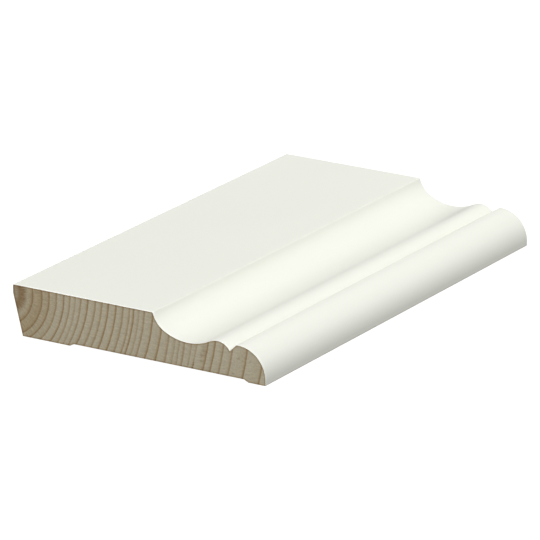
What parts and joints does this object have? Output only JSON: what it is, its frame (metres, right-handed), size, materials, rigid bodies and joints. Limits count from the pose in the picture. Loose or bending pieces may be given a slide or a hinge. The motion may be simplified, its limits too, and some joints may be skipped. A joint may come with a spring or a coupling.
{
  "type": "skirting board",
  "caption": "Length of painted pine skirting board: broad flat face, cove, bead, quirk and rounded nose, an undercut floor edge and a shallow relief in the back.",
  "frame": {"origin": "under the middle of the board, in the plane of the two back lands that it lies on", "axes": "+X across the board from the floor edge to the rounded nose, +Y along its length, +Z from the wall side to the painted face"},
  "size_m": [0.118, 0.207, 0.021],
  "materials": {
    "painted_pine": "satin",
    "bare_pine": "matte"
  },
  "bodies": {
    "root": {"skirting_board": "painted_pine"}
  },
  "joints": []
}
